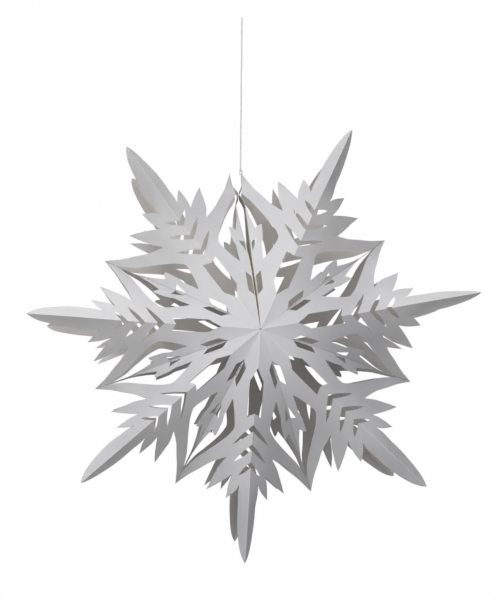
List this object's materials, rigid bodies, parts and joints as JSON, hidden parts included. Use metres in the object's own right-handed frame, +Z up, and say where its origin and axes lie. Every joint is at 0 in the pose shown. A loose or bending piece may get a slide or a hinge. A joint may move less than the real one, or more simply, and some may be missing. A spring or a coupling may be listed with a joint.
{
  "type": "paper snowflake star",
  "caption": "Fold-flat hanging paper snowflake: die-cut paper pockets round a common axis, glued in flat webs, hung on a thread tied at an open seam.",
  "frame": {"origin": "the free top end of the hanging thread, from which the star hangs", "axes": "+Z up along the hanging thread, +Y along the star axis towards the back, front face towards -Y"},
  "size_m": [0.5903, 0.3558, 0.7475],
  "materials": {
    "paper": "matte, uncoated white",
    "thread": "twisted white thread"
  },
  "bodies": {
    "thread": {"hanging_thread": "thread"},
    "web_0": {"point1_ccw_web": "paper", "thread_loop": "thread", "seam_tie": "thread"},
    "web_1": {"point1_cw_web": "paper", "point2_ccw_web": "paper"},
    "web_2": {"point2_cw_web": "paper", "point3_ccw_web": "paper"},
    "web_3": {"point3_cw_web": "paper", "point4_ccw_web": "paper"},
    "web_4": {"point4_cw_web": "paper", "point5_ccw_web": "paper"},
    "web_5": {"point5_cw_web": "paper", "point6_ccw_web": "paper"},
    "web_6": {"point6_cw_web": "paper", "point7_ccw_web": "paper"},
    "web_7": {"point7_cw_web": "paper"},
    "point1_ccw_front": {"point1_ccw_front": "paper"},
    "point1_ccw_back": {"point1_ccw_back": "paper"},
    "point1_cw_front": {"point1_cw_front": "paper"},
    "point1_cw_back": {"point1_cw_back": "paper"},
    "point2_ccw_front": {"point2_ccw_front": "paper"},
    "point2_ccw_back": {"point2_ccw_back": "paper"},
    "point2_cw_front": {"point2_cw_front": "paper"},
    "point2_cw_back": {"point2_cw_back": "paper"},
    "point3_ccw_front": {"point3_ccw_front": "paper"},
    "point3_ccw_back": {"point3_ccw_back": "paper"},
    "point3_cw_front": {"point3_cw_front": "paper"},
    "point3_cw_back": {"point3_cw_back": "paper"},
    "point4_ccw_front": {"point4_ccw_front": "paper"},
    "point4_ccw_back": {"point4_ccw_back": "paper"},
    "point4_cw_front": {"point4_cw_front": "paper"},
    "point4_cw_back": {"point4_cw_back": "paper"},
    "point5_ccw_front": {"point5_ccw_front": "paper"},
    "point5_ccw_back": {"point5_ccw_back": "paper"},
    "point5_cw_front": {"point5_cw_front": "paper"},
    "point5_cw_back": {"point5_cw_back": "paper"},
    "point6_ccw_front": {"point6_ccw_front": "paper"},
    "point6_ccw_back": {"point6_ccw_back": "paper"},
    "point6_cw_front": {"point6_cw_front": "paper"},
    "point6_cw_back": {"point6_cw_back": "paper"},
    "point7_ccw_front": {"point7_ccw_front": "paper"},
    "point7_ccw_back": {"point7_ccw_back": "paper"},
    "point7_cw_front": {"point7_cw_front": "paper"},
    "point7_cw_back": {"point7_cw_back": "paper"}
  },
  "joints": [
    {"name": "hang_spin", "type": "hinge", "parent": "thread", "child": "web_0", "pos_m": [0, 0, -0.20353], "axis": [0, 0, 1], "continuous": true},
    {"name": "star_fold", "type": "hinge", "parent": "web_0", "child": "web_7", "pos_m": [0.01899, 0, -0.45], "axis": [0, 1, 0], "range_deg": [-335.2, 0]},
    {"name": "web1_fold", "type": "hinge", "parent": "web_0", "child": "web_1", "pos_m": [0.01899, 0, -0.45], "axis": [0, 1, 0], "range_deg": [-55.35, 0.05]},
    {"name": "web2_fold", "type": "hinge", "parent": "web_0", "child": "web_2", "pos_m": [0.01899, 0, -0.45], "axis": [0, 1, 0], "range_deg": [-104.25, 0.05]},
    {"name": "web3_fold", "type": "hinge", "parent": "web_0", "child": "web_3", "pos_m": [0.01899, 0, -0.45], "axis": [0, 1, 0], "range_deg": [-154.65, 0.05]},
    {"name": "web4_fold", "type": "hinge", "parent": "web_0", "child": "web_4", "pos_m": [0.01899, 0, -0.45], "axis": [0, 1, 0], "range_deg": [-199.75, 0.05]},
    {"name": "web5_fold", "type": "hinge", "parent": "web_0", "child": "web_5", "pos_m": [0.01899, 0, -0.45], "axis": [0, 1, 0], "range_deg": [-240.45, 0.05]},
    {"name": "web6_fold", "type": "hinge", "parent": "web_0", "child": "web_6", "pos_m": [0.01899, 0, -0.45], "axis": [0, 1, 0], "range_deg": [-282.95, 0.05]},
    {"name": "point1_ccw_front_crease", "type": "hinge", "parent": "web_0", "child": "point1_ccw_front", "pos_m": [0.01899, -0.17946, -0.45], "axis": [-0.0646, 0.6157, 0.7854], "range_deg": [-49.87, 0.05]},
    {"name": "point1_ccw_back_crease", "type": "hinge", "parent": "web_0", "child": "point1_ccw_back", "pos_m": [0.01899, 0.17946, -0.45], "axis": [-0.0646, -0.6157, 0.7854], "range_deg": [-0.05, 49.87]},
    {"name": "point1_cw_front_crease", "type": "hinge", "parent": "web_1", "child": "point1_cw_front", "pos_m": [0.01899, -0.17946, -0.45], "axis": [0.6343, 0.6157, 0.4676], "range_deg": [-0.05, 49.87]},
    {"name": "point1_cw_back_crease", "type": "hinge", "parent": "web_1", "child": "point1_cw_back", "pos_m": [0.01899, 0.17946, -0.45], "axis": [0.6343, -0.6157, 0.4676], "range_deg": [-49.87, 0.05]},
    {"name": "point2_ccw_front_crease", "type": "hinge", "parent": "web_1", "child": "point2_ccw_front", "pos_m": [0.01899, -0.17946, -0.45], "axis": [0.6343, 0.6157, 0.4676], "range_deg": [-44.03, 0.05]},
    {"name": "point2_ccw_back_crease", "type": "hinge", "parent": "web_1", "child": "point2_ccw_back", "pos_m": [0.01899, 0.17946, -0.45], "axis": [0.6343, -0.6157, 0.4676], "range_deg": [-0.05, 44.03]},
    {"name": "point2_cw_front_crease", "type": "hinge", "parent": "web_2", "child": "point2_cw_front", "pos_m": [0.01899, -0.17946, -0.45], "axis": [0.7594, 0.6157, -0.2106], "range_deg": [-0.05, 44.03]},
    {"name": "point2_cw_back_crease", "type": "hinge", "parent": "web_2", "child": "point2_cw_back", "pos_m": [0.01899, 0.17946, -0.45], "axis": [0.7594, -0.6157, -0.2106], "range_deg": [-44.03, 0.05]},
    {"name": "point3_ccw_front_crease", "type": "hinge", "parent": "web_2", "child": "point3_ccw_front", "pos_m": [0.01899, -0.17946, -0.45], "axis": [0.7594, 0.6157, -0.2106], "range_deg": [-45.39, 0.05]},
    {"name": "point3_ccw_back_crease", "type": "hinge", "parent": "web_2", "child": "point3_ccw_back", "pos_m": [0.01899, 0.17946, -0.45], "axis": [0.7594, -0.6157, -0.2106], "range_deg": [-0.05, 45.39]},
    {"name": "point3_cw_front_crease", "type": "hinge", "parent": "web_3", "child": "point3_cw_front", "pos_m": [0.01899, -0.17946, -0.45], "axis": [0.2837, 0.6157, -0.7352], "range_deg": [-0.05, 45.39]},
    {"name": "point3_cw_back_crease", "type": "hinge", "parent": "web_3", "child": "point3_cw_back", "pos_m": [0.01899, 0.17946, -0.45], "axis": [0.2837, -0.6157, -0.7352], "range_deg": [-45.39, 0.05]},
    {"name": "point4_ccw_front_crease", "type": "hinge", "parent": "web_3", "child": "point4_ccw_front", "pos_m": [0.01899, -0.17946, -0.45], "axis": [0.2837, 0.6157, -0.7352], "range_deg": [-40.6, 0.05]},
    {"name": "point4_ccw_back_crease", "type": "hinge", "parent": "web_3", "child": "point4_ccw_back", "pos_m": [0.01899, 0.17946, -0.45], "axis": [0.2837, -0.6157, -0.7352], "range_deg": [-0.05, 40.6]},
    {"name": "point4_cw_front_crease", "type": "hinge", "parent": "web_4", "child": "point4_cw_front", "pos_m": [0.01899, -0.17946, -0.45], "axis": [-0.3577, 0.6157, -0.7021], "range_deg": [-0.05, 40.6]},
    {"name": "point4_cw_back_crease", "type": "hinge", "parent": "web_4", "child": "point4_cw_back", "pos_m": [0.01899, 0.17946, -0.45], "axis": [-0.3577, -0.6157, -0.7021], "range_deg": [-40.6, 0.05]},
    {"name": "point5_ccw_front_crease", "type": "hinge", "parent": "web_4", "child": "point5_ccw_front", "pos_m": [0.01899, -0.17946, -0.45], "axis": [-0.3577, 0.6157, -0.7021], "range_deg": [-36.63, 0.05]},
    {"name": "point5_ccw_back_crease", "type": "hinge", "parent": "web_4", "child": "point5_ccw_back", "pos_m": [0.01899, 0.17946, -0.45], "axis": [-0.3577, -0.6157, -0.7021], "range_deg": [-0.05, 36.63]},
    {"name": "point5_cw_front_crease", "type": "hinge", "parent": "web_5", "child": "point5_cw_front", "pos_m": [0.01899, -0.17946, -0.45], "axis": [-0.7437, 0.6157, -0.2604], "range_deg": [-0.05, 36.63]},
    {"name": "point5_cw_back_crease", "type": "hinge", "parent": "web_5", "child": "point5_cw_back", "pos_m": [0.01899, 0.17946, -0.45], "axis": [-0.7437, -0.6157, -0.2604], "range_deg": [-36.63, 0.05]},
    {"name": "point6_ccw_front_crease", "type": "hinge", "parent": "web_5", "child": "point6_ccw_front", "pos_m": [0.01899, -0.17946, -0.45], "axis": [-0.7437, 0.6157, -0.2604], "range_deg": [-38.28, 0.05]},
    {"name": "point6_ccw_back_crease", "type": "hinge", "parent": "web_5", "child": "point6_ccw_back", "pos_m": [0.01899, 0.17946, -0.45], "axis": [-0.7437, -0.6157, -0.2604], "range_deg": [-0.05, 38.28]},
    {"name": "point6_cw_front_crease", "type": "hinge", "parent": "web_6", "child": "point6_cw_front", "pos_m": [0.01899, -0.17946, -0.45], "axis": [-0.707, 0.6157, 0.3479], "range_deg": [-0.05, 38.28]},
    {"name": "point6_cw_back_crease", "type": "hinge", "parent": "web_6", "child": "point6_cw_back", "pos_m": [0.01899, 0.17946, -0.45], "axis": [-0.707, -0.6157, 0.3479], "range_deg": [-38.28, 0.05]},
    {"name": "point7_ccw_front_crease", "type": "hinge", "parent": "web_6", "child": "point7_ccw_front", "pos_m": [0.01899, -0.17946, -0.45], "axis": [-0.707, 0.6157, 0.3479], "range_deg": [-47.08, 0.05]},
    {"name": "point7_ccw_back_crease", "type": "hinge", "parent": "web_6", "child": "point7_ccw_back", "pos_m": [0.01899, 0.17946, -0.45], "axis": [-0.707, -0.6157, 0.3479], "range_deg": [-0.05, 47.08]},
    {"name": "point7_cw_front_crease", "type": "hinge", "parent": "web_7", "child": "point7_cw_front", "pos_m": [0.01899, -0.17946, -0.45], "axis": [-0.1165, 0.6157, 0.7794], "range_deg": [-0.05, 47.08]},
    {"name": "point7_cw_back_crease", "type": "hinge", "parent": "web_7", "child": "point7_cw_back", "pos_m": [0.01899, 0.17946, -0.45], "axis": [-0.1165, -0.6157, 0.7794], "range_deg": [-47.08, 0.05]}
  ],
  "couplings": [
    {"joint": "web1_fold", "follows": "star_fold", "ratio": 0.16498},
    {"joint": "web2_fold", "follows": "star_fold", "ratio": 0.31086},
    {"joint": "web3_fold", "follows": "star_fold", "ratio": 0.46122},
    {"joint": "web4_fold", "follows": "star_fold", "ratio": 0.59576},
    {"joint": "web5_fold", "follows": "star_fold", "ratio": 0.71718},
    {"joint": "web6_fold", "follows": "star_fold", "ratio": 0.84397},
    {"joint": "point1_ccw_front_crease", "follows": "star_fold", "ratio": 0.14862},
    {"joint": "point1_ccw_back_crease", "follows": "star_fold", "ratio": -0.14862},
    {"joint": "point1_cw_front_crease", "follows": "star_fold", "ratio": -0.14862},
    {"joint": "point1_cw_back_crease", "follows": "star_fold", "ratio": 0.14862},
    {"joint": "point2_ccw_front_crease", "follows": "star_fold", "ratio": 0.13121},
    {"joint": "point2_ccw_back_crease", "follows": "star_fold", "ratio": -0.13121},
    {"joint": "point2_cw_front_crease", "follows": "star_fold", "ratio": -0.13121},
    {"joint": "point2_cw_back_crease", "follows": "star_fold", "ratio": 0.13121},
    {"joint": "point3_ccw_front_crease", "follows": "star_fold", "ratio": 0.13527},
    {"joint": "point3_ccw_back_crease", "follows": "star_fold", "ratio": -0.13527},
    {"joint": "point3_cw_front_crease", "follows": "star_fold", "ratio": -0.13527},
    {"joint": "point3_cw_back_crease", "follows": "star_fold", "ratio": 0.13527},
    {"joint": "point4_ccw_front_crease", "follows": "star_fold", "ratio": 0.12096},
    {"joint": "point4_ccw_back_crease", "follows": "star_fold", "ratio": -0.12096},
    {"joint": "point4_cw_front_crease", "follows": "star_fold", "ratio": -0.12096},
    {"joint": "point4_cw_back_crease", "follows": "star_fold", "ratio": 0.12096},
    {"joint": "point5_ccw_front_crease", "follows": "star_fold", "ratio": 0.10914},
    {"joint": "point5_ccw_back_crease", "follows": "star_fold", "ratio": -0.10914},
    {"joint": "point5_cw_front_crease", "follows": "star_fold", "ratio": -0.10914},
    {"joint": "point5_cw_back_crease", "follows": "star_fold", "ratio": 0.10914},
    {"joint": "point6_ccw_front_crease", "follows": "star_fold", "ratio": 0.11404},
    {"joint": "point6_ccw_back_crease", "follows": "star_fold", "ratio": -0.11404},
    {"joint": "point6_cw_front_crease", "follows": "star_fold", "ratio": -0.11404},
    {"joint": "point6_cw_back_crease", "follows": "star_fold", "ratio": 0.11404},
    {"joint": "point7_ccw_front_crease", "follows": "star_fold", "ratio": 0.14032},
    {"joint": "point7_ccw_back_crease", "follows": "star_fold", "ratio": -0.14032},
    {"joint": "point7_cw_front_crease", "follows": "star_fold", "ratio": -0.14032},
    {"joint": "point7_cw_back_crease", "follows": "star_fold", "ratio": 0.14032}
  ]
}
